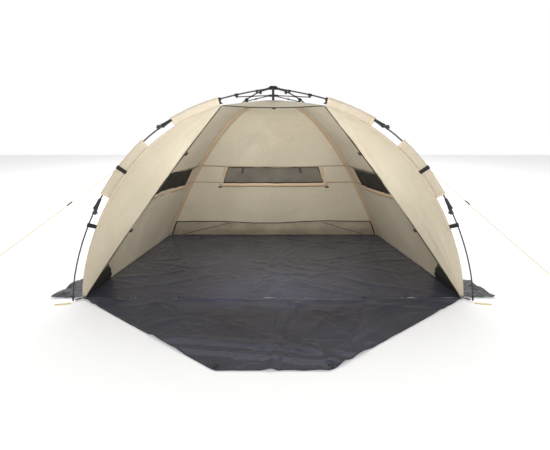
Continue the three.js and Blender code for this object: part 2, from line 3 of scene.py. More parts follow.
import bmesh
import bpy
import numpy as np
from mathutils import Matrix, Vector


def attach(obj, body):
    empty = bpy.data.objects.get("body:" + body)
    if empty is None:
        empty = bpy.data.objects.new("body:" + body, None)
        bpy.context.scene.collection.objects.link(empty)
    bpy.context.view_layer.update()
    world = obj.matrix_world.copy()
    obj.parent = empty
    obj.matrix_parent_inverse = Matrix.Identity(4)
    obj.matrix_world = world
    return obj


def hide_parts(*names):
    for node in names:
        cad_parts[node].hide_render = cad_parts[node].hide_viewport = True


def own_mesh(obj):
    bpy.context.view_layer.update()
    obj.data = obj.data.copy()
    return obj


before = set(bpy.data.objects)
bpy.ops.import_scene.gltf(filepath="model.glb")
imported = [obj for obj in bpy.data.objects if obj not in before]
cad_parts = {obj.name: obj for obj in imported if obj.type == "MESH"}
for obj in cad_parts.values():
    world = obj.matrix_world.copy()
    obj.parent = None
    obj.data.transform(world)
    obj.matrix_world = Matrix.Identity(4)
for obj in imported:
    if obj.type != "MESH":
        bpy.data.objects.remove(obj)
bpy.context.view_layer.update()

# ---------------------------------------------------------------- sizes, in metres, as in the CAD
SIDES = ("left", "right")
SIGN = {"left": -1, "right": 1}
HUB_HEIGHT = 1.376
HUB_RADIUS = 0.030
FOOT_HEIGHT = 0.008
POLES = {  # reach, azimuth in degrees, spread, droop, straight
    "front": (1.437, 25.27, 3.09, 0.667, 0.198),
    "rear": (1.550, 42.25, 1.7, 1.0, 0.0),
}
CORNERS = {"front": (1.264, -0.558), "rear": (1.103, 1.012)}
CLOTH_OFFSET = 0.045  # from a pole's centre line to the cloth under it
CLOTH_SAG = 0.035
CLIP_AT = 0.385
CLOTH_TOP = 0.040
CLOTH_FOOT = 0.003
HEM_RADIUS = 0.390
HEM_BOW = 0.025
WINDOW_TOP = 0.767
WINDOW_BOTTOM = 0.614
BACK_WINDOW = (0.2, 0.8)
SIDE_WINDOW = (0.3, 0.88)
APRON = [(1.264, -0.562), (0.291, -1.345), (0.265, -1.358)]
FLAP = [(1.267, -0.558), (1.479, -0.556), (1.435, -0.240), (1.237, -0.240)]
GUY_AT = 1.205
GUY_LIFT = 0.006
GUY_START = 0.026
GUY_RADIUS = 0.0016
GUY_SAG = 0.006
TENSIONER_AT = 0.235  # of the way from the pole to the peg
TENSIONER_BARS = (  # place along the slider, and size
    (-0.017, (0.004, 0.0098, 0.0058)),
    (0.0, (0.005, 0.0098, 0.0058)),
    (0.017, (0.004, 0.0098, 0.0058)),
)
TENSIONER_RAIL = (0.037, 0.0024, 0.0052)
TENSIONER_RAIL_AT = 0.0042
CORD_TURNS_AT = (-0.0075, 0.0075)
GUY_PEGS = {"left": (-2.064, -1.021), "right": (1.924, -0.850)}
PEG_TIP = (0.024, 0.0075)  # height of the knot on the peg, and its distance from the peg's axis
LOOP = {"reach": 0.100, "width": 0.010, "radius": 0.0018}
SLEEVES = ((0.405, 0.735), (0.985, 1.395))  # lengths along a pole
STRAPS = (1.205, 1.616)
WEBBING = 0.025
BAND_TALL = 0.155

# ---------------------------------------------------------------- camera
CAMERA_AT = (0.008, -2.9465, 1.0964)
CAMERA_TILT = 76.05  # degrees up from straight down
CAMERA_TURN = -0.1
CAMERA_LENS = 25.4
camera = bpy.data.objects.new("camera", bpy.data.cameras.new("camera"))
bpy.context.scene.collection.objects.link(camera)
bpy.context.scene.camera = camera
camera.location = CAMERA_AT
camera.rotation_euler = (math.radians(CAMERA_TILT), 0, math.radians(CAMERA_TURN))
camera.data.lens = CAMERA_LENS
camera.data.clip_end = 60


# ---------------------------------------------------------------- mesh helpers
def unit(v):
    v = np.asarray(v, float)
    return v / np.maximum(np.linalg.norm(v, axis=-1, keepdims=True), 1e-12)


def make(name, verts, faces, material, slot):
    mesh = bpy.data.meshes.new(name)
    mesh.from_pydata(np.asarray(verts, float).tolist(), [], [tuple(int(i) for i in f) for f in faces])
    mesh.polygons.foreach_set("use_smooth", [True] * len(mesh.polygons))
    mesh.materials.append(material)
    obj = bpy.data.objects.new(name, mesh)
    bpy.context.scene.collection.objects.link(obj)
    return obj


def grid_faces(rows, columns, wrap=False, skip=None):
    faces = []
    for row in range(rows - 1):
        for column in range(columns if wrap else columns - 1):
            if skip and skip(row, column):
                continue
            nearby = (column + 1) % columns
            a, b = row * columns + column, row * columns + nearby
            faces.append((a, b, b + columns, a + columns))
    return faces


def on_grid(surface, us, vs, *lift):
    """A surface's points on a grid, row by row."""
    u, v = np.meshgrid(us, vs)
    return surface(u.ravel(), v.ravel(), *lift)


def thicken(obj, thickness, offset=0.0):
    cloth = obj.modifiers.new("thickness", "SOLIDIFY")
    cloth.thickness = thickness
    cloth.offset = offset
    return obj


def soften(obj, width):
    bevel = obj.modifiers.new("edges", "BEVEL")
    bevel.width = width
    bevel.segments = 2
    return obj


def lengths_along(line):
    """How far along a line each of its points is."""
    return np.r_[0, np.cumsum(np.linalg.norm(np.diff(line, axis=0), axis=1))]


def frames_along(path):
    """Tangent, side and up at each point of a path, turning as little as possible."""
    path = np.asarray(path, float)
    tangent = unit(np.gradient(path, axis=0))
    up = np.array([0, 0, 1.0]) if abs(tangent[0][2]) < 0.9 else np.array([1.0, 0, 0])
    sides = []
    side = unit(np.cross(tangent[0], up))
    for t in tangent:
        side = unit(side - t * np.dot(side, t))
        sides.append(side)
    sides = np.array(sides)
    return tangent, sides, np.cross(sides, tangent)


def sweep(path, sides, ups, profile, caps=True):
    """A closed outline of (side, up) points carried along a path: (points, faces)."""
    path, profile = np.asarray(path, float), np.asarray(profile, float)
    if profile.ndim == 2:
        profile = np.repeat(profile[None], len(path), axis=0)
    points = path[:, None] + profile[..., :1] * sides[:, None] + profile[..., 1:] * ups[:, None]
    rows, columns = profile.shape[0], profile.shape[1]
    faces = grid_faces(rows, columns, wrap=True)
    if caps:
        faces.append(tuple(range(columns))[::-1])
        faces.append(tuple(range((rows - 1) * columns, rows * columns)))
    return points.reshape(-1, 3), faces


def merged(parts):
    points, faces, start = [], [], 0
    for p, f in parts:
        points.append(np.asarray(p, float).reshape(-1, 3))
        faces += [tuple(i + start for i in face) for face in f]
        start += len(points[-1])
    return np.concatenate(points), faces


def ring_profile(radius, count=10):
    turn = np.linspace(0, 2 * math.pi, count, endpoint=False)
    return np.c_[radius * np.cos(turn), radius * np.sin(turn)]


def tube(path, radius, count=10):
    _, sides, ups = frames_along(path)
    return sweep(path, sides, ups, ring_profile(radius, count))


def smooth_path(points, count):
    """A smooth line through points, at even steps."""
    points = np.asarray(points, float)
    padded = np.r_[[2 * points[0] - points[1]], points, [2 * points[-1] - points[-2]]]
    line = []
    for i in range(len(points) - 1):
        a, b, c, d = padded[i:i + 4]
        t = np.linspace(0, 1, 24, endpoint=False)[:, None]
        bend, twist = 2 * a - 5 * b + 4 * c - d, 3 * b - a - 3 * c + d
        line.append(0.5 * (2 * b + (c - a) * t + bend * t**2 + twist * t**3))
    line = np.concatenate(line + [points[-1:]])
    lengths = lengths_along(line)
    even = np.linspace(0, lengths[-1], count)
    return np.array([np.interp(even, lengths, line[:, k]) for k in range(3)]).T


def box_part(centre, axes, size):
    """A box with its own axes: (points, faces)."""
    corners = np.array([(x, y, z) for z in (-1, 1) for y in (-1, 1) for x in (-1, 1)], float) / 2
    points = np.asarray(centre) + (corners * size) @ np.asarray(axes, float)
    faces = [(0, 2, 3, 1), (4, 5, 7, 6), (0, 1, 5, 4), (2, 6, 7, 3), (0, 4, 6, 2), (1, 3, 7, 5)]
    return points, faces


def soft(obj, body="shell"):
    """Rides on a body, with a mesh of its own."""
    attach(obj, body)
    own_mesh(obj)
    return obj


def ripples(x, y, seed, count, low, high):
    """Soft waves of many lengths, about 1 high."""
    random = np.random.default_rng(seed)
    total = np.zeros_like(x)
    for _ in range(count):
        k = random.uniform(low, high)
        turn, phase = random.uniform(0, 2 * math.pi, 2)
        total += (low / k) * np.sin(k * (x * math.cos(turn) + y * math.sin(turn)) + phase)
    return total / math.sqrt(count)


def creases(x, y, seed, count, width, reach):
    """Narrow ridges along straight lines, about 1 high."""
    random = np.random.default_rng(seed)
    total = np.zeros_like(x)
    for _ in range(count):
        turn = random.uniform(0, math.pi)
        cx, cy = random.uniform(x.min(), x.max()), random.uniform(y.min(), y.max())
        across = (x - cx) * math.sin(turn) - (y - cy) * math.cos(turn)
        along = (x - cx) * math.cos(turn) + (y - cy) * math.sin(turn)
        bend = 0.03 * np.sin(along * 7 + cx * 9)
        ridge = np.exp(-(((across + bend) / width) ** 2)) * np.exp(-((along / reach) ** 2))
        total += random.choice([-0.7, 1.0]) * ridge
    return total


# ---------------------------------------------------------------- poles and seams
CURVE_STEPS = 1600
SEAM_STEPS = 160
INSIDE = np.array([0, 0.2, 0.4])  # a point inside the shelter, to tell inward from outward
WING_INSIDE = np.array([0, 0.4, 0.4])


def profile_of(end):
    reach, _, spread, droop, straight = POLES[end]
    share = np.sin(math.pi / 2 * np.linspace(0, 1, CURVE_STEPS + 1))
    arch = np.maximum(1 - share**spread, 0) ** droop
    height = (1 - straight) * arch + straight * (1 - share)
    line = np.c_[HUB_RADIUS + (reach - HUB_RADIUS) * share, FOOT_HEIGHT + (HUB_HEIGHT - FOOT_HEIGHT) * height]
    return line, lengths_along(line)


PROFILES = {end: profile_of(end) for end in POLES}


def azimuth_of(side, end):
    forward = -POLES[end][1] if end == "front" else POLES[end][1]
    return math.radians(forward if side == "right" else 180 - forward)


def pole_at(side, end, length):
    """Points, tangents, sideways and outward directions at lengths along a pole."""
    line, lengths = PROFILES[end]
    length = np.atleast_1d(np.asarray(length, float))
    turn = azimuth_of(side, end)
    radial = np.array([math.cos(turn), math.sin(turn), 0])
    r, z = np.interp(length, lengths, line[:, 0]), np.interp(length, lengths, line[:, 1])
    step = 0.004
    r1, z1 = np.interp(length + step, lengths, line[:, 0]), np.interp(length + step, lengths, line[:, 1])
    r0, z0 = np.interp(length - step, lengths, line[:, 0]), np.interp(length - step, lengths, line[:, 1])
    slope = unit(np.c_[r1 - r0, z1 - z0])
    up = np.array([0, 0, 1.0])
    tangent = slope[:, :1] * radial + slope[:, 1:] * up
    outward = -slope[:, 1:] * radial + slope[:, :1] * up
    point = r[:, None] * radial + z[:, None] * up
    sideways = np.repeat(np.array([[-math.sin(turn), math.cos(turn), 0]]), len(length), axis=0)
    return point, tangent, sideways, outward


def seam_line(side, end):
    total = PROFILES[end][1][-1]
    length = total * np.arange(SEAM_STEPS + 1) / SEAM_STEPS
    point, _, _, outward = pole_at(side, end, length)
    sag = CLOTH_SAG * np.maximum(0, 1 - length / CLIP_AT)
    line = point - (CLOTH_OFFSET + sag)[:, None] * outward
    sign = SIGN[side]
    corner = np.array([CORNERS[end][0] * sign, CORNERS[end][1]])
    shift = np.r_[corner - line[-1, :2], 0]
    line = line + ((np.arange(SEAM_STEPS + 1) / SEAM_STEPS) ** 5)[:, None] * shift
    return np.r_[line, [[*corner, 0.001]]]


SEAMS = {(side, end): seam_line(side, end) for side in SIDES for end in ("front", "rear")}


def seam(side, end, height):
    line = SEAMS[side, end][::-1]
    return np.array([np.interp(height, line[:, 2], line[:, k]) for k in range(3)]).T


def height_at_radius(side, end, radius):
    line = SEAMS[side, end]
    return float(np.interp(radius, np.hypot(line[:, 0], line[:, 1]), line[:, 2]))


TOPS = {key: height_at_radius(*key, CLOTH_TOP) for key in SEAMS}
HEM_HEIGHT = height_at_radius("left", "front", HEM_RADIUS)


def row_height(key, v):
    return CLOTH_FOOT + (TOPS[key] - CLOTH_FOOT) * np.cos(v * math.pi / 2)


def row_at(key, height):
    return math.acos((height - CLOTH_FOOT) / (TOPS[key] - CLOTH_FOOT)) * 2 / math.pi


def lines_with(count, marks):
    lines = np.linspace(0, 1, count + 1)
    for mark in marks:
        nearest = 1 + int(np.argmin(np.abs(lines[1:-1] - mark)))
        lines[nearest] = mark
    return lines


def relief_of(base, height, inside):
    """The surface of base moved by height(u, v) away from a point inside."""
    def surface(u, v, lift=0.0):
        u, v = np.atleast_1d(np.asarray(u, float)), np.atleast_1d(np.asarray(v, float))
        u, v = np.broadcast_arrays(u, v)
        step = 1e-3
        du = base(u + step, v) - base(u - step, v)
        dv = base(u, np.minimum(v + step, 1)) - base(u, np.maximum(v - step, 0))
        normal = unit(np.cross(du, dv))
        point = base(u, v)
        flip = np.sign(np.sum(normal * (point - inside), axis=1, keepdims=True))
        return point + normal * flip * (height(u, v) + lift)[:, None]
    return surface


def panel_of(one, other, seed, bow):
    def base(u, v):
        a, b = seam(*one, row_height(one, v)), seam(*other, row_height(other, v))
        return a + (b - a) * u[:, None]

    def height(u, v):
        edge = np.clip(4 * u * (1 - u), 0, 1)
        held = edge**0.6 * np.clip(v * 6, 0, 1) * np.clip((1 - v) * 9, 0, 1)
        hollow = -bow * edge * np.sin(math.pi * np.clip(v, 0, 1))
        waves = 0.0022 * ripples(u * 1.6, v * 1.4, seed, 14, 5, 24)
        folds = 0.0040 * creases(u * 1.6, v * 1.4, seed + 1, 18, 0.05, 0.45)
        low = np.exp(-(((1 - v) / 0.22) ** 2))
        pull = low * 0.005 * (np.sin(26 * (u - 0.5 * v)) * np.exp(-((u / 0.2) ** 2))
                              + np.sin(26 * (1 - u - 0.5 * v)) * np.exp(-(((1 - u) / 0.2) ** 2)))
        return hollow + held * (waves + folds) + pull * edge**0.5
    return relief_of(base, height, INSIDE)


def hem_point(side, height):
    sign = SIGN[side]
    corner = seam(side, "front", np.array([HEM_HEIGHT]))[0]
    foot = np.array([sign * (CORNERS["front"][0] - 0.012), CORNERS["front"][1], 0])
    share = np.asarray(height, float) / HEM_HEIGHT
    point = foot + (corner - foot) * share[:, None]
    point[:, 0] += sign * HEM_BOW * 4 * share * (1 - share)
    return point


def wing_of(side, seed):
    key = (side, "front")
    start = row_at(key, HEM_HEIGHT)

    def base(u, v):
        height = row_height(key, start + (1 - start) * v)
        a, b = seam(*key, height), hem_point(side, np.minimum(height, HEM_HEIGHT))
        return a + (b - a) * u[:, None]

    def height(u, v):
        wide = np.sin(math.pi * np.clip(v, 0, 1))
        waves = 0.004 * ripples(u * 0.7, v * 1.5, seed, 12, 5, 22)
        folds = 0.005 * creases(u * 0.7, v * 1.5, seed + 1, 14, 0.035, 0.35)
        hollow = 0.02 * wide * np.sin(math.pi * np.clip(u, 0, 1))
        return wide * np.clip(u * 4, 0, 1) * (waves + folds) + hollow
    return relief_of(base, height, WING_INSIDE), start


PANELS = {
    "left": panel_of(("left", "front"), ("left", "rear"), 3, 0.022),
    "back": panel_of(("left", "rear"), ("right", "rear"), 7, 0.022),
    "right": panel_of(("right", "front"), ("right", "rear"), 11, 0.022),
}
WINGS = {"left": wing_of("left", 17), "right": wing_of("right", 23)}


def roof_base(u, v):
    key = ("left", "front")
    end = row_at(key, HEM_HEIGHT)
    height = row_height(key, end * v)
    a, b = seam("left", "front", height), seam("right", "front", height)
    return a + (b - a) * u[:, None]


def roof_height(u, v):
    hollow = -0.014 * np.sin(math.pi * np.clip(u, 0, 1)) * np.clip(v, 0, 1)
    return hollow + 0.002 * ripples(u, v, 29, 9, 6, 18) * v


ROOF = relief_of(roof_base, roof_height, INSIDE)


# ---------------------------------------------------------------- materials
def node_material(name, roughness, metallic=0.0, **sockets):
    material = bpy.data.materials.new(name)
    material.use_nodes = True
    shader = material.node_tree.nodes["Principled BSDF"]
    shader.inputs["Metallic"].default_value = metallic
    shader.inputs["Roughness"].default_value = roughness
    for key, value in sockets.items():
        shader.inputs[key.replace("_", " ")].default_value = value
    return material, material.node_tree.nodes, material.node_tree.links, shader


def texture(nodes, links, kind, scale, stretch=(1, 1, 1), turn=(0, 0, 0), **values):
    place = nodes.new("ShaderNodeTexCoord")
    mapping = nodes.new("ShaderNodeMapping")
    mapping.inputs["Scale"].default_value = stretch
    mapping.inputs["Rotation"].default_value = turn
    links.new(place.outputs["Object"], mapping.inputs["Vector"])
    made = nodes.new(kind)
    links.new(mapping.outputs["Vector"], made.inputs["Vector"])
    made.inputs["Scale"].default_value = scale
    for key, value in values.items():
        made.inputs[key].default_value = value
    return made


def ramp(nodes, links, source, stops):
    made = nodes.new("ShaderNodeValToRGB")
    elements = made.color_ramp.elements
    for index, (at, color) in enumerate(stops):
        element = elements[index] if index < 2 else elements.new(at)
        element.position = at
        element.color = (*color, 1)
    links.new(source, made.inputs["Fac"])
    return made.outputs["Color"]


def mix(nodes, links, factor, a, b, blend="MIX"):
    made = nodes.new("ShaderNodeMix")
    made.data_type = "RGBA"
    made.blend_type = blend
    made.inputs["Factor"].default_value = factor
    links.new(a, made.inputs[6])
    links.new(b, made.inputs[7])
    return made.outputs[2]


def bump(nodes, links, height, distance, strength=1.0, after=None):
    made = nodes.new("ShaderNodeBump")
    made.inputs["Distance"].default_value = distance
    made.inputs["Strength"].default_value = strength
    links.new(height, made.inputs["Height"])
    if after is not None:
        links.new(after, made.inputs["Normal"])
    return made.outputs["Normal"]


def cloth_material(name, pale, dark, roughness=0.8, thread=420, crinkle=0.004, sheen=0.15, **more):
    material, nodes, links, shader = node_material(name, roughness, Sheen_Weight=sheen, **more)
    patches = texture(nodes, links, "ShaderNodeTexNoise", 2.3, Detail=4.0)
    fine = texture(nodes, links, "ShaderNodeTexNoise", 90.0, Detail=6.0)
    tint = ramp(nodes, links, patches.outputs["Fac"], [(0.35, dark), (0.65, pale)])
    speck = ramp(nodes, links, fine.outputs["Fac"], [(0.3, (0.95, 0.95, 0.95)), (0.7, (1, 1, 1))])
    links.new(mix(nodes, links, 1.0, tint, speck, "MULTIPLY"), shader.inputs["Base Color"])
    warp = texture(nodes, links, "ShaderNodeTexWave", thread, Distortion=1.5)
    weft = texture(nodes, links, "ShaderNodeTexWave", thread, turn=(0.4, 0, 1.57), Distortion=1.5)
    weave = mix(nodes, links, 0.5, warp.outputs["Color"], weft.outputs["Color"])
    wrinkle = texture(nodes, links, "ShaderNodeTexNoise", 9.0, stretch=(1, 1, 0.5),
                      Detail=3.0, Distortion=1.2)
    normal = bump(nodes, links, wrinkle.outputs["Fac"], crinkle, 0.7)
    normal = bump(nodes, links, weave, 0.0006, 0.35, normal)
    links.new(normal, shader.inputs["Normal"])
    return material


def plastic_material(name, color, roughness, grain=260, depth=0.0003, **more):
    material, nodes, links, shader = node_material(name, roughness, **more)
    noise = texture(nodes, links, "ShaderNodeTexNoise", grain, Detail=5.0)
    wear = texture(nodes, links, "ShaderNodeTexNoise", 18.0, Detail=6.0)
    pale = tuple(min(1.0, c * 1.5 + 0.01) for c in color)
    worn = ramp(nodes, links, wear.outputs["Fac"], [(0.45, color), (0.75, pale)])
    links.new(worn, shader.inputs["Base Color"])
    rough = nodes.new("ShaderNodeMapRange")
    rough.inputs["To Min"].default_value = roughness * 0.8
    rough.inputs["To Max"].default_value = min(1.0, roughness * 1.25)
    links.new(wear.outputs["Fac"], rough.inputs["Value"])
    links.new(rough.outputs["Result"], shader.inputs["Roughness"])
    links.new(bump(nodes, links, noise.outputs["Fac"], depth, 0.4), shader.inputs["Normal"])
    return material


def mesh_material(name, pale, dark, alpha):
    material, nodes, links, shader = node_material(name, 0.85, Alpha=alpha)
    holes = texture(nodes, links, "ShaderNodeTexVoronoi", 330.0, Randomness=0.15)
    cells = ramp(nodes, links, holes.outputs["Distance"], [(0.2, dark), (0.6, pale)])
    patches = texture(nodes, links, "ShaderNodeTexNoise", 5.0, Detail=3.0)
    tone = ramp(nodes, links, patches.outputs["Fac"], [(0.35, (0.75, 0.75, 0.75)), (0.65, (1, 1, 1))])
    links.new(mix(nodes, links, 1.0, cells, tone, "MULTIPLY"), shader.inputs["Base Color"])
    links.new(bump(nodes, links, holes.outputs["Distance"], 0.0008, 0.5), shader.inputs["Normal"])
    return material


CANOPY = cloth_material("canopy_cloth", (0.69, 0.615, 0.465), (0.62, 0.54, 0.40), crinkle=0.010)
TAN = cloth_material("tan_tape", (0.72, 0.54, 0.35), (0.66, 0.48, 0.30), thread=600, crinkle=0.001)
PEACH = cloth_material("peach_trim", (0.84, 0.70, 0.52), (0.78, 0.64, 0.46), thread=600, crinkle=0.001)
SLEEVE = cloth_material("sleeve_cloth", (0.76, 0.665, 0.515), (0.69, 0.595, 0.45), crinkle=0.005)
STITCH = cloth_material("seam_stitching", (0.42, 0.31, 0.19), (0.36, 0.26, 0.15), thread=900, crinkle=0.0005)
PIPING = cloth_material("dark_piping", (0.050, 0.040, 0.028), (0.035, 0.028, 0.020),
                        thread=900, crinkle=0.0005)
BLACK_WEB = cloth_material("black_webbing", (0.020, 0.019, 0.018), (0.013, 0.012, 0.012), 0.7, 900, 0.0005)
FLOOR_CLOTH = cloth_material("floor_cloth", (0.044, 0.048, 0.080), (0.027, 0.030, 0.053),
                             0.24, 500, 0.012, 0.1)
FLAP_CLOTH = cloth_material("flap_cloth", (0.022, 0.024, 0.034), (0.016, 0.018, 0.026), 0.5, 500, 0.004)
BACK_MESH = mesh_material("window_mesh", (0.27, 0.235, 0.18), (0.15, 0.13, 0.10), 0.90)
BAND_MESH = mesh_material("band_mesh", (0.50, 0.43, 0.31), (0.26, 0.22, 0.155), 0.97)
DARK_MESH = mesh_material("dark_mesh", (0.050, 0.044, 0.032), (0.020, 0.018, 0.014), 0.97)
CORD_YELLOW = cloth_material("yellow_cord", (0.82, 0.62, 0.16), (0.70, 0.50, 0.10), 0.7, 1500, 0.0004)
POLE_BLACK = plastic_material("pole_fibreglass", (0.030, 0.030, 0.032), 0.34, 500, 0.0001)
BLACK = plastic_material("black_plastic", (0.010, 0.010, 0.011), 0.42)
STEEL = plastic_material("peg_steel", (0.45, 0.45, 0.46), 0.34, 400, 0.0001, metallic=1.0)

for name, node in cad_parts.items():
    if name.startswith(("arm_", "middle_pole_", "lower_pole_")):
        finish = POLE_BLACK
    elif name in ("peg_left", "peg_right"):
        finish = STEEL
    else:
        finish = BLACK
    for material_slot in node.material_slots:
        material_slot.link = "OBJECT"
        material_slot.material = finish


# ---------------------------------------------------------------- guy lines and peg loops
def build_guy(side):
    point, _, _, outward = pole_at(side, "front", GUY_AT)
    pole = point[0] + GUY_LIFT * outward[0]
    x, y = GUY_PEGS[side]
    away = unit(np.array([x, y, 0]) - pole)
    start = pole + GUY_START * away
    end = np.array([x, y, PEG_TIP[0]]) - PEG_TIP[1] * away
    share = np.linspace(0, 1, 34)
    path = start + (end - start) * share[:, None]
    path[:, 2] -= GUY_SAG * np.sin(math.pi * share)
    line = make(f"guy_cord_{side}", *tube(path, GUY_RADIUS, 8), CORD_YELLOW, "cord")
    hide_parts(f"guy_line_{side}", f"guy_line_{side}_upper")
    soft(line)
    build_tensioner(side, start, end)


def build_tensioner(side, start, end):
    """A flat slider with the cord looped round its two ends."""
    along = unit(end - start)
    middle = start + (end - start) * TENSIONER_AT
    level = unit(np.cross(along, [0, 0, 1]))
    axes = [along, level, np.cross(along, level)]
    parts = [box_part(middle + along * step, axes, size) for step, size in TENSIONER_BARS]
    for sign in (-1, 1):
        parts.append(box_part(middle + level * sign * TENSIONER_RAIL_AT, axes, TENSIONER_RAIL))
    body = make(f"tensioner_body_{side}", *merged(parts), BLACK, "fitting")
    soften(body, 0.0008)
    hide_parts(f"tensioner_{side}")
    soft(body, f"tensioner_{side}")
    turn = np.linspace(0, 2 * math.pi, 25)
    for index, step in enumerate(CORD_TURNS_AT):
        ring = middle + along * step + (level * np.cos(turn)[:, None] * 0.0027
                                        + axes[2] * np.sin(turn)[:, None] * 0.0040)
        loop = make(f"tensioner_turn_{side}_{index}", *tube(ring, 0.0013, 8), CORD_YELLOW, "cord")
        soft(loop, f"tensioner_{side}")


def build_loop(side):
    sign = SIGN[side]
    turn = azimuth_of(side, "front")
    root = np.array([math.cos(turn), math.sin(turn)]) * (POLES["front"][0] - 0.030)
    route = [(0, 0), (0.3, 0.8), (0.75, 1), (0.97, 0.6), (1, 0.1), (0.88, -0.35), (0.45, -0.5), (0.08, -0.75)]
    points = [(root[0] + sign * (0.028 + LOOP["reach"] * out),
               root[1] - 0.038 - 0.016 * out - LOOP["width"] * wide,
               LOOP["radius"] + 0.0003) for out, wide in route]
    path = smooth_path(points, 44)
    loop = make(f"ground_loop_{side}", *tube(path, LOOP["radius"], 8), CORD_YELLOW, "cord")
    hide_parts(f"peg_loop_{side}")
    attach(loop, "shell")


for side in SIDES:
    build_guy(side)
    build_loop(side)


# ---------------------------------------------------------------- canopy
ROWS = 120
PANEL_COLUMNS = 90
WING_COLUMNS = 25
ROOF_COLUMNS = 41
CLOTH_THICKNESS = 0.0012
MARKS = [row_at(("left", "front"), h) for h in (HEM_HEIGHT, WINDOW_TOP, WINDOW_BOTTOM)]
VS = lines_with(ROWS, MARKS)
HEM_ROW, TOP_ROW, BOTTOM_ROW = (int(np.argmin(np.abs(VS - mark))) for mark in MARKS)


def panel_part(panel, us, window):
    left, right = (int(np.argmin(np.abs(us - w))) for w in window)
    inside = lambda row, column: left <= column < right and TOP_ROW <= row < BOTTOM_ROW
    return on_grid(panel, us, VS), grid_faces(len(VS), len(us), skip=inside)


def build_canopy():
    parts = []
    for name, window in (("left", SIDE_WINDOW), ("back", BACK_WINDOW), ("right", SIDE_WINDOW)):
        parts.append(panel_part(PANELS[name], lines_with(PANEL_COLUMNS, window), window))
    rows = (VS[HEM_ROW:] - VS[HEM_ROW]) / (1 - VS[HEM_ROW])
    for surface, _ in WINGS.values():
        points = on_grid(surface, np.linspace(0, 1, WING_COLUMNS), rows)
        parts.append((points, grid_faces(len(rows), WING_COLUMNS)))
    rows = VS[:HEM_ROW + 1] / VS[HEM_ROW]
    points = on_grid(ROOF, np.linspace(0, 1, ROOF_COLUMNS), rows)
    parts.append((points, grid_faces(len(rows), ROOF_COLUMNS)))
    points, faces = merged(parts)
    canopy = make("canopy", points, faces, CANOPY, "canopy")
    work = bmesh.new()
    work.from_mesh(canopy.data)
    bmesh.ops.remove_doubles(work, verts=work.verts, dist=CLOTH_THICKNESS)
    crown = [e for e in work.edges if e.is_boundary and all(
        math.hypot(v.co.x, v.co.y) < CLOTH_TOP + 0.004 and v.co.z > 1 for v in e.verts)]
    bmesh.ops.holes_fill(work, edges=crown, sides=0)
    bmesh.ops.recalc_face_normals(work, faces=work.faces)
    area = sum(f.calc_area() for f in work.faces)
    work.to_mesh(canopy.data)
    work.free()
    canopy.data.polygons.foreach_set("use_smooth", [True] * len(canopy.data.polygons))
    thicken(canopy, CLOTH_THICKNESS)
    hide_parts("side_wall_left", "side_wall_right", "back_wall",
                "wing_left", "wing_right", "roof_front")
    soft(canopy)


build_canopy()


# ---------------------------------------------------------------- tapes, windows and bindings
PANE_LIFT = -0.0016  # lifts are outwards, so these lie on the inner face
SEAM_LIFT = -0.004
TAPE_LIFT = -0.0075
LOOP_LIFT = -0.012
PANE_THICKNESS = 0.0006
EDGE_WIDE, TAPE_WIDE, LOW_TAPE_WIDE = 0.009, 0.030, 0.034
SEAM_ENDS = (0.012, 0.988)
TAB_SIZE = (0.036, 0.016)
LOOP_DROP = 0.062
TOGGLE_HEIGHTS = (0.93, 0.427)
PIPING_RADIUS = 0.0036


def panel_width(panel, v):
    """How wide a panel is at each v."""
    return np.linalg.norm(panel(1.0, v) - panel(0.0, v), axis=1)


def columns_mesh(name, columns, material, slot="canopy", thickness=0.001):
    """A strip through columns of points, each a line of the same count."""
    points = np.stack(columns, axis=1)
    rows, count = points.shape[:2]
    strip = make(name, points.reshape(-1, 3), grid_faces(rows, count), material, slot)
    thicken(strip, thickness)
    return soft(strip)


def rear_tape(side):
    v = np.linspace(0.10, 0.985, 110)
    wall, back = PANELS[side], PANELS["back"]
    reach, inset = 0.030, 0.003

    def on_wall(distance):
        return wall(1 - distance / panel_width(wall, v), v, SEAM_LIFT)

    def on_back(distance):
        share = distance / panel_width(back, v)
        return back(share if side == "left" else 1 - share, v, SEAM_LIFT)
    corner = (on_wall(inset) + on_back(inset)) / 2
    columns_mesh(f"rear_seam_tape_{side}", [on_wall(reach), corner, on_back(reach)], TAN)


def front_tape(side):
    surface, start = WINGS[side]
    v = np.linspace(0.06, 0.72, 90)
    wall = PANELS[side]
    wall_v = start + (1 - start) * v
    out = 0.003
    edge = np.minimum(0.5, 0.014 / panel_width(surface, v))
    columns_mesh(f"front_seam_tape_{side}", [surface(edge, v, out), surface(edge * 0.15, v, out),
                                             wall(0.012 / panel_width(wall, wall_v), wall_v, out)], PEACH)


def level_line(name, panel, v, u0, u1, width, lift, material):
    """A narrow tape along a row of a panel, on its inner face."""
    u = np.linspace(u0, u1, 70)
    dv = width / 2 / 1.6
    columns_mesh(name, [panel(u, v - dv, lift), panel(u, v, lift * 1.3), panel(u, v + dv, lift)], material)


def upright_line(name, panel, u, v0, v1, width, lift, material):
    v = np.linspace(v0, v1, 24)
    du = width / 2 / panel_width(panel, v)
    columns_mesh(name, [panel(u - du, v, lift), panel(u, v, lift * 1.3), panel(u + du, v, lift)], material)


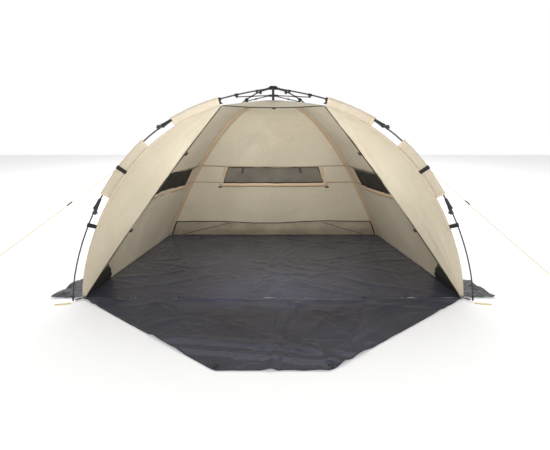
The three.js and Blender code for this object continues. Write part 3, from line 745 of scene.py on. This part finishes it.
def build_window(name, window, material):
    panel = PANELS[name]
    u0, u1 = window
    v0, v1 = VS[TOP_ROW], VS[BOTTOM_ROW]
    us, vs = np.linspace(u0 - 0.004, u1 + 0.004, 50), np.linspace(v0 - 0.003, v1 + 0.003, 14)
    points = on_grid(panel, us, vs, PANE_LIFT)
    node = "back_window" if name == "back" else f"side_window_{name}"
    pane = make(f"{node}_mesh", points, grid_faces(len(vs), len(us)), material, "mesh")
    thicken(pane, PANE_THICKNESS)
    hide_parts(node)
    soft(pane)
    width = float(np.linalg.norm(panel(u1, v0) - panel(u0, v0)))
    height = float(np.linalg.norm(panel(u0, v1) - panel(u0, v0)))
    middle = float(np.linalg.norm(panel(1.0, v0) - panel(0.0, v0)))
    shift = (TAPE_WIDE / 2 + EDGE_WIDE / 2) / middle
    level_line(f"{node}_edge_top", panel, v0, u0, u1, 0.010, TAPE_LIFT, BLACK_WEB)
    level_line(f"{node}_edge_low", panel, v1, u0, u1, EDGE_WIDE, TAPE_LIFT, BLACK_WEB)
    for mark, u in (("a", u0), ("b", u1)):
        upright_line(f"{node}_edge_{mark}", panel, u, v0, v1, EDGE_WIDE, TAPE_LIFT, BLACK_WEB)
    for mark, u in (("a", u0 - shift), ("b", u1 + shift)):
        upright_line(f"{node}_tape_{mark}", panel, u, v0 - 0.002, v1 + 0.022, TAPE_WIDE, TAPE_LIFT * 1.2, TAN)
    level_line(f"{node}_tape_low", panel, v1 + 0.013, u0 - shift, u1 + shift, LOW_TAPE_WIDE,
               TAPE_LIFT * 1.3, TAN)
    first, last = SEAM_ENDS
    for mark, v, start, stop, wide in (("top", v0 - 0.004, first, last, 0.007),
                                       ("low", v1 + 0.002, first, u0 - shift * 1.5, 0.006),
                                       ("low_b", v1 + 0.002, u1 + shift * 1.5, last, 0.006)):
        level_line(f"{node}_seam_{mark}", panel, v, start, stop, wide, TAPE_LIFT, STITCH)
    return panel, shift


def tab(name, panel, u, v, wide, tall, lift=-0.011):
    """A small webbing tab sewn to a panel's inner face."""
    here = panel(u, v, lift)[0]
    right = unit(panel(u + 0.01, v, lift)[0] - here)
    down = unit(panel(u, min(v + 0.01, 1), lift)[0] - here)
    out = unit(np.cross(right, down))
    made = make(name, *box_part(here, [right, down, out], (wide, tall, 0.005)), BLACK_WEB, "canopy")
    soften(made, 0.0015)
    soft(made)


def hanging_loop(name, panel, u, v, drop):
    """A loop of narrow webbing hanging from a window's upper edge."""
    top = panel(u, v, LOOP_LIFT)[0]
    right = unit(panel(u + 0.01, v, LOOP_LIFT)[0] - top)
    down = unit(panel(u, v + 0.05, LOOP_LIFT)[0] - top)
    inward = np.cross(down, right)
    inward = inward * np.sign(np.dot(inward, np.array([0, 0.1, 0.6]) - top))
    turn = np.linspace(0, 2 * math.pi, 25)
    sway = 0.007 * np.sin(turn)
    path = top + right * sway[:, None] + down * (drop * (1 - np.cos(turn)) / 2)[:, None]
    path = path + inward * (0.004 + 0.004 * np.sin(turn / 2))[:, None]
    made = make(name, *tube(path, 0.0032, 8), BLACK_WEB, "canopy")
    soft(made)


for name, window, material in (("left", SIDE_WINDOW, DARK_MESH), ("back", BACK_WINDOW, BACK_MESH),
                               ("right", SIDE_WINDOW, DARK_MESH)):
    panel, shift = build_window(name, window, material)
    low = VS[BOTTOM_ROW] + 0.030
    stops = (window[0] - shift, sum(window) / 2, window[1] + shift) if name == "back" else (0.42,)
    for index, u in enumerate(stops):
        tab(f"window_tab_{name}_{index}", panel, u, low, *TAB_SIZE)
for index, share in enumerate((0.165, 0.794)):
    u = BACK_WINDOW[0] + (BACK_WINDOW[1] - BACK_WINDOW[0]) * share
    hanging_loop(f"window_loop_{index}", PANELS["back"], u, VS[TOP_ROW] + 0.004, LOOP_DROP)

for side in SIDES:
    rear_tape(side)
    front_tape(side)


# Piping along the hems, and the toggles on it.
def hem_path(side, count=90):
    surface, _ = WINGS[side]
    return surface(1.0, np.linspace(0, 0.985, count), 0.0)


def toggle(name, point, along, out):
    """A small barrel on a short loop of cord."""
    along, out = unit(along), unit(out)
    cross = np.cross(along, out)
    length, radius = 0.026, 0.0075
    steps = np.linspace(-1, 1, 9)
    radii = radius * np.sqrt(np.clip(1 - (steps * 0.92) ** 4, 0.05, 1))
    turn = np.linspace(0, 2 * math.pi, 12, endpoint=False)
    centre = point + out * 0.012
    points = np.concatenate([
        centre + along * s * length / 2 + r * (np.cos(turn)[:, None] * out + np.sin(turn)[:, None] * cross)
        for s, r in zip(steps, radii)])
    faces = grid_faces(9, 12, wrap=True) + [tuple(range(12))[::-1], tuple(range(96, 108))]
    bend = np.linspace(0, math.pi, 12)
    cord = [point - along * 0.010 + along * 0.020 * a / math.pi + out * 0.012 * math.sin(a) for a in bend]
    made = make(name, *merged([(points, faces), tube(cord, 0.0018, 6)]), BLACK, "fitting")
    soft(made)


for side in SIDES:
    path = hem_path(side)
    piping = make(f"hem_piping_{side}", *tube(path, PIPING_RADIUS, 8), PIPING, "canopy")
    soft(piping)
    for index, height in enumerate(TOGGLE_HEIGHTS):
        nearest = int(np.argmin(np.abs(path[:, 2] - height)))
        inward = np.array([-SIGN[side], -0.3, 0.1])
        toggle(f"hem_toggle_{side}_{index}", path[nearest] + unit(inward) * 0.004,
               path[nearest + 1] - path[nearest - 1], inward)
front_hem = ROOF(np.linspace(0.01, 0.99, 60), np.ones(60), 0.0)
soft(make("hem_piping_top", *tube(front_hem, PIPING_RADIUS, 8), PIPING, "canopy"))
toggle("hem_toggle_top", front_hem[30] - np.array([0, 0.004, 0.002]),
       np.array([1.0, 0, 0]), np.array([0, -1.0, -0.2]))


# Sleeves of cloth that hold the poles to the canopy.
def sleeve_profile(length, seed, grow=0.0):
    """The sleeve's outline at each length: round the pole, then narrowing to the canopy."""
    turn = np.linspace(-0.15 * math.pi, 1.15 * math.pi, 15)
    crest = np.c_[np.cos(turn), np.sin(turn)]
    outline = np.r_[[[0.0035, -CLOTH_OFFSET + 0.002]], [[0.009, -0.022]], crest * 0.0135,
                    [[-0.009, -0.022]], [[-0.0035, -CLOTH_OFFSET + 0.002]]]
    wave = ripples(length, length * 0.3, seed, 8, 30, 120)
    slack = 1 + 0.35 * wave[:, None, None] * np.array([1.0, 0.30])
    deep = np.where(outline[:, 1] < -0.03, 0.0, 1.0)[None, :, None]
    swell = np.array([0.6 * grow, grow]) * np.sign(outline)
    return outline[None] * (1 + (slack - 1) * deep) + swell[None]


def build_sleeve(side, end, index, span, seed):
    length = np.linspace(*span, 64)
    point, _, sideways, outward = pole_at(side, end, length)
    name = f"pole_sleeve_{end}_{side}_{index}"
    shape = sweep(point, sideways, outward, sleeve_profile(length, seed), caps=False)
    sleeve = make(name, *shape, SLEEVE, "canopy")
    thicken(sleeve, 0.001)
    soft(sleeve)
    parts = []
    for at in span:
        trim = np.linspace(at - 0.009, at + 0.009, 5)
        ends = pole_at(side, end, trim)
        profile = sleeve_profile(np.full(5, at), seed, 0.0016)
        parts.append(sweep(ends[0], ends[2], ends[3], profile, caps=False))
    trims = make(f"{name}_trim", *merged(parts), PEACH, "canopy")
    thicken(trims, 0.001)
    soft(trims)


STRAP_ROUND = (0.0195, 0.0085)


def strap_outline(reach, round_pole):
    """A band round the pole and down to the seam, as an outline."""
    turn = np.linspace(-0.1 * math.pi, 1.1 * math.pi, 15)
    narrow = 0.003 * round_pole / STRAP_ROUND[1]
    return np.r_[np.c_[np.cos(turn), np.sin(turn)] * round_pole,
                 [[-narrow, -reach + 0.004], [-narrow / 2, -reach - 0.006],
                  [narrow / 2, -reach - 0.006], [narrow, -reach + 0.004]]]


def build_strap(side, end, index, at):
    point, tangent, _, outward = (a[0] for a in pole_at(side, end, at))
    foot = seam(side, end, np.array([point[2] - CLOTH_OFFSET * outward[2]]))[0]
    up = unit(point - foot)
    across = unit(np.cross(tangent, up))
    reach = float(np.linalg.norm(point - foot))
    steps = np.linspace(-WEBBING / 2, WEBBING / 2, 5)
    path = point + tangent * steps[:, None]
    outline = strap_outline(reach, STRAP_ROUND[index])
    shape = sweep(path, np.repeat(across[None], 5, 0), np.repeat(up[None], 5, 0), outline, caps=False)
    strap = make(f"pole_strap_{end}_{side}_{index}", *shape, BLACK_WEB, "canopy")
    thicken(strap, 0.0018, 1.0)
    soft(strap)


seed = 40
for side in SIDES:
    for end in ("front", "rear"):
        for index, span in enumerate(SLEEVES):
            seed += 1
            build_sleeve(side, end, index, span, seed)
        for index, at in enumerate(STRAPS):
            build_strap(side, end, index, at)


# ---------------------------------------------------------------- the mesh band at the foot of the back wall
def build_back_band():
    back = PANELS["back"]
    u = np.linspace(0.012, 0.988, 110)
    top = 1 - np.interp(BAND_TALL, [0, 1.2], [0, 0.66]) - 0.008 * np.sin(u * 9 + 0.6) * np.sin(math.pi * u)
    share = np.linspace(0, 1, 12)
    columns = []
    for s in share:
        v = 0.996 + (top - 0.996) * s
        slack = 0.004 * ripples(u * 2.2, np.full_like(u, s * 0.3), 61, 10, 8, 30) * math.sin(math.pi * s)
        line = back(u, v, -0.006)
        line[:, 1] += slack - 0.012 * math.sin(math.pi * s) ** 2
        columns.append(line)
    band = columns_mesh("back_band_mesh", columns, BAND_MESH, "mesh", 0.0006)
    edge = columns[-1] + np.array([0, -0.003, 0])
    soft(make("back_band_binding", *tube(edge, 0.0042, 8), BLACK_WEB, "mesh"))
    for side, at in (("left", 0), ("right", -1)):
        ends = np.array([c[at] for c in columns]) + np.array([0, -0.004, 0])
        soft(make(f"back_band_end_{side}", *tube(ends, 0.005, 8), BLACK_WEB, "mesh"))
    parts = []
    for start, stop in ((6, 30), (103, 82)):
        path = smooth_path([columns[1][start] - [0, 0.009, 0],
                            columns[6][(start + stop) // 2] - [0, 0.012, 0],
                            columns[10][stop] - [0, 0.008, 0]], 24)
        parts.append(tube(path, 0.0024, 6))
    soft(make("back_band_folds", *merged(parts), BLACK_WEB, "mesh"))


build_back_band()


# The dark mesh corners where the wings meet the floor, given at the right; the left one mirrors it.
MESH_CORNER = (1.255, -0.553, 0.006)
MESH_BACK = (1.222, -0.215, 0.006)
MESH_TALL = 0.215


def build_corner_mesh(side):
    sign = SIGN[side]
    corner, along = (np.array(p) * [sign, 1, 1] for p in (MESH_CORNER, MESH_BACK))
    hem = hem_point(side, np.array([MESH_TALL]))[0] + np.array([-sign * 0.004, 0.006, 0])
    share = np.linspace(0, 1, 18)
    rows = []
    for a in share:
        left, right = corner + (hem - corner) * a, corner + (along - corner) * a
        line = left + (right - left) * share[:, None]
        line[:, 0] += -sign * 0.014 * np.sin(math.pi * share) * a
        line[:, 0] += sign * 0.003 * np.sin(share * 19 + a * 5) * a
        rows.append(line)
    points = np.concatenate(rows)
    piece = make(f"corner_mesh_{side}", points, grid_faces(18, 18), DARK_MESH, "mesh")
    work = bmesh.new()
    work.from_mesh(piece.data)
    bmesh.ops.remove_doubles(work, verts=work.verts, dist=0.0004)
    work.to_mesh(piece.data)
    work.free()
    thicken(piece, 0.0008)
    soft(piece)
    soft(make(f"corner_binding_{side}", *tube(rows[-1], 0.0032, 8), BLACK_WEB, "mesh"))


for side in SIDES:
    build_corner_mesh(side)


# ---------------------------------------------------------------- floor, apron and flaps
def quad_surface(corners):
    a, b, c, d = (np.array([*p, 0.0]) for p in corners)

    def base(u, v):
        front = a + (b - a) * u[:, None]
        back = d + (c - d) * u[:, None]
        return front + (back - front) * v[:, None]
    return base


FLOOR_SEED, FLAP_SEED, FLAP_DEEP = 71, 90, 0.8
HINGE_LINE, APRON_WAVE, CROSS_FOLD = -0.60, -1.16, 0.25
PACKED_FOLDS = (-0.92, -0.46, 0.0, 0.46, 0.92)
SHEET_LIFT = 0.0016


def ground_height(x, y, seed, deep=1.0):
    """Height of a sheet lying on the ground: soft waves and sharp fold lines."""
    waves = 0.0022 * (1 + ripples(x, y, seed, 16, 3, 16))
    folds = 0.0065 * np.abs(creases(x, y, seed + 1, 44, 0.028, 0.45))
    ragged = np.clip(0.55 + 0.9 * np.sin(x * 7.3 + 0.8) * np.sin(x * 2.1), 0, 1)
    line = 0.011 * ragged * np.exp(-(((y - HINGE_LINE + 0.010 * np.sin(x * 3)) / 0.020) ** 2))
    front = (APRON_WAVE - y) - 0.10 * np.sin(x * 1.7)
    line += 0.012 * np.exp(-((front / 0.035) ** 2)) + 0.010 * np.exp(-(((front - 0.09) / 0.025) ** 2))
    packed = sum(0.0022 * np.exp(-(((x - at) / 0.010) ** 2)) for at in PACKED_FOLDS)
    packed = packed + 0.0022 * np.exp(-(((y - CROSS_FOLD) / 0.012) ** 2))
    return deep * np.maximum(waves, 0) + deep * (folds + line + packed)


def flat_piece(name, points, faces, material, body, seed, deep, replaced):
    points = np.asarray(points, float)
    points[:, 2] = SHEET_LIFT + ground_height(points[:, 0], points[:, 1], seed, deep)
    obj = make(name, points, faces, material, "floor")
    thicken(obj, CLOTH_THICKNESS)
    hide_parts(replaced)
    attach(obj, body)
    return obj


def build_floor():
    (fx, fy), (rx, ry) = CORNERS["front"], CORNERS["rear"]
    base = quad_surface([(-fx, fy), (fx, fy), (rx, ry), (-rx, ry)])
    points = on_grid(base, np.linspace(0, 1, 220), np.linspace(0, 1, 140))
    flat_piece("floor_sheet", points, grid_faces(140, 220), FLOOR_CLOTH, "shell", FLOOR_SEED, 1.0,
               "ground_sheet")


def build_apron():
    (ax, ay), (bx, by), (cx, cy) = APRON
    vs = np.linspace(0, 1, 80)
    rows = []
    for v in vs:
        y = ay + (cy - ay) * v
        half = ax + (bx - ax) * (y - ay) / (by - ay) if y > by else bx + (cx - bx) * (y - by) / (cy - by)
        rows.append(np.c_[np.linspace(-half, half, 200), np.full(200, y), np.zeros(200)])
    flat_piece("apron_sheet", np.concatenate(rows), grid_faces(80, 200), FLOOR_CLOTH,
               "apron", FLOOR_SEED, 1.0, "apron")


def build_flap(side):
    base = quad_surface([(SIGN[side] * x, y) for x, y in FLAP])
    points = on_grid(base, np.linspace(0, 1, 40), np.linspace(0, 1, 50))
    flat_piece(f"sand_flap_sheet_{side}", points, grid_faces(50, 40), FLAP_CLOTH, "shell", FLAP_SEED,
               FLAP_DEEP, f"sand_flap_{side}")


def binding(name, corners, seed, body, radius=0.0028):
    """A bound edge round part of a sheet on the ground."""
    lines = []
    for start, stop in zip(corners[:-1], corners[1:]):
        count = max(3, int(math.hypot(stop[0] - start[0], stop[1] - start[1]) / 0.012))
        share = np.linspace(0, 1, count, endpoint=False)[:, None]
        lines.append(np.array([start]) + (np.array([stop]) - np.array([start])) * share)
    flat = np.concatenate(lines + [np.array([corners[-1]])])
    height = 0.0012 + ground_height(flat[:, 0], flat[:, 1], seed)
    path = np.c_[flat, np.maximum(height, radius + 0.0003)]
    edge = make(name, *tube(path, radius, 6), BLACK_WEB, "floor")
    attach(edge, body)


def strap_section(wide, thick):
    """The outline of a flat strap, from half its width and half its thickness."""
    return np.array([(-wide, -thick), (wide, -thick), (wide, thick), (-wide, thick)])


def ground_loop(name, x, y, turn, body, size):
    """A short webbing loop lying on the ground sheet, by its edge."""
    bend = np.linspace(0, math.pi, 18)
    out = np.array([math.cos(turn), math.sin(turn)])
    side = np.array([-out[1], out[0]])
    flat = np.array([x, y]) + np.outer(np.sin(bend), out) * size + np.outer(np.cos(bend), side) * size * 0.33
    path = np.c_[flat, np.full(18, 0.012)]
    _, sides, ups = frames_along(path)
    loop = make(name, *sweep(path, sides, ups, strap_section(0.004, 0.001)), BLACK_WEB, "floor")
    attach(loop, body)


def build_ground():
    build_floor()
    build_apron()
    (fx, fy), (rx, ry) = CORNERS["front"], CORNERS["rear"]
    inset = 0.004
    binding("floor_binding", [(-fx + inset, fy + 0.005), (-rx + inset, ry - inset), (rx - inset, ry - inset),
                              (fx - inset, fy + 0.005)], FLOOR_SEED, "shell")
    (ax, ay), (bx, by), (cx, cy) = APRON
    binding("apron_binding", [(-ax + 0.008, ay - 0.004), (-bx + inset, by + inset), (-cx, cy + inset),
                              (cx, cy + inset), (bx - inset, by + inset), (ax - 0.008, ay - 0.004)],
            FLOOR_SEED, "apron")
    for index, (x, y) in enumerate(((-0.612, -0.534), (0.601, -0.534))):
        ground_loop(f"floor_loop_{index}", x, y, -math.pi / 2 + 0.2 * index, "shell", 0.034)
    for index, (x, y, turn) in enumerate(((-0.262, -1.332, 2.2), (0.272, -1.332, 0.9))):
        ground_loop(f"apron_loop_{index}", x, y, turn, "apron", 0.024)
    for side in SIDES:
        build_flap(side)


build_ground()


# Rings and short straps that join the floor's front corners to the feet.
def build_foot_strap(side):
    sign = SIGN[side]
    foot = pole_at(side, "front", PROFILES["front"][1][-1] - 0.01)[0][0]
    corner = np.array([sign * 1.252, -0.560, 0.010])
    ends = smooth_path([corner + [-sign * 0.012, 0.012, 0], corner,
                        corner + (foot - corner) * [0.55, 0.55, 0],
                        [foot[0] - sign * 0.011, foot[1] + 0.006, 0.012]], 30)
    _, sides, ups = frames_along(ends)
    shape = sweep(ends, sides, ups, strap_section(0.009, 0.0012))
    strap = make(f"foot_strap_{side}", *shape, BLACK_WEB, "floor")
    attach(strap, "shell")
    turn = np.linspace(0, 2 * math.pi, 29)
    ring = np.c_[corner[0] + 0.013 * np.cos(turn), corner[1] - 0.012 + 0.013 * np.sin(turn),
                 0.016 + 0.003 * np.sin(turn)]
    hoop = make(f"corner_ring_{side}", *tube(ring, 0.0022, 8), STEEL, "steel")
    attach(hoop, "shell")


for side in SIDES:
    build_foot_strap(side)


# ---------------------------------------------------------------- stage and light
STAGE_HALF = 14
STAGE_WHITE = 0.92
STAGE_GLOW = 0.22
FRONT_SKY = 0.36  # how bright the sky is on the camera's side; behind the shelter it is 1
SKY_WHITE_AT = 0.35  # how far towards the back the sky turns white


def build_stage():
    floor = node_material("pale_floor", 0.9)
    floor[3].inputs["Base Color"].default_value = (STAGE_WHITE, STAGE_WHITE, STAGE_WHITE, 1)
    floor[3].inputs["Emission Color"].default_value = (1, 1, 1, 1)
    floor[3].inputs["Emission Strength"].default_value = STAGE_GLOW
    half = STAGE_HALF
    corners = [(-half, -half, 0), (half, -half, 0), (half, half, 0), (-half, half, 0)]
    mesh = bpy.data.meshes.new("stage_floor")
    mesh.from_pydata(corners, [], [(0, 1, 2, 3)])
    mesh.materials.append(floor[0])
    stage = bpy.data.objects.new("stage_floor", mesh)
    bpy.context.scene.collection.objects.link(stage)
    world = bpy.data.worlds.new("studio")
    world.use_nodes = True
    background = world.node_tree.nodes["Background"]
    nodes, links = world.node_tree.nodes, world.node_tree.links
    split = nodes.new("ShaderNodeSeparateXYZ")
    links.new(nodes.new("ShaderNodeTexCoord").outputs["Generated"], split.inputs[0])
    wall = nodes.new("ShaderNodeValToRGB")
    wall.color_ramp.elements[0].position = 0.0
    wall.color_ramp.elements[0].color = (FRONT_SKY, FRONT_SKY, FRONT_SKY, 1)
    wall.color_ramp.elements[1].position = SKY_WHITE_AT
    wall.color_ramp.elements[1].color = (1, 1, 1, 1)
    links.new(split.outputs["Y"], wall.inputs[0])
    links.new(wall.outputs[0], background.inputs["Color"])
    background.inputs["Strength"].default_value = 1.0
    bpy.context.scene.world = world


# The inner light is hidden from the camera, as it stands in the opening.
def area_light(name, place, target, size, power, seen=True):
    data = bpy.data.lights.new(name, "AREA")
    data.size = size
    data.energy = power
    light = bpy.data.objects.new(name, data)
    bpy.context.scene.collection.objects.link(light)
    light.location = place
    light.visible_camera = seen
    light.rotation_euler = (Vector(target) - Vector(place)).to_track_quat("-Z", "Y").to_euler()


build_stage()
area_light("key_light", (-1.2, -5.2, 3.6), (0, 0, 0.4), 3.2, 36)
area_light("fill_light", (3.4, -3.6, 3.0), (0, 0, 0.4), 3.0, 20)
area_light("front_light", (0.2, -6.0, 1.5), (0, 0.6, 0.6), 2.0, 84)
area_light("back_light", (0, 6.0, 5.0), (0, 6.0, 0), 8.0, 330)
area_light("inner_light", (0, -0.7, 0.6), (0, 0.8, 0.4), 0.8, 7, seen=False)
bpy.context.scene.view_settings.view_transform = "Standard"
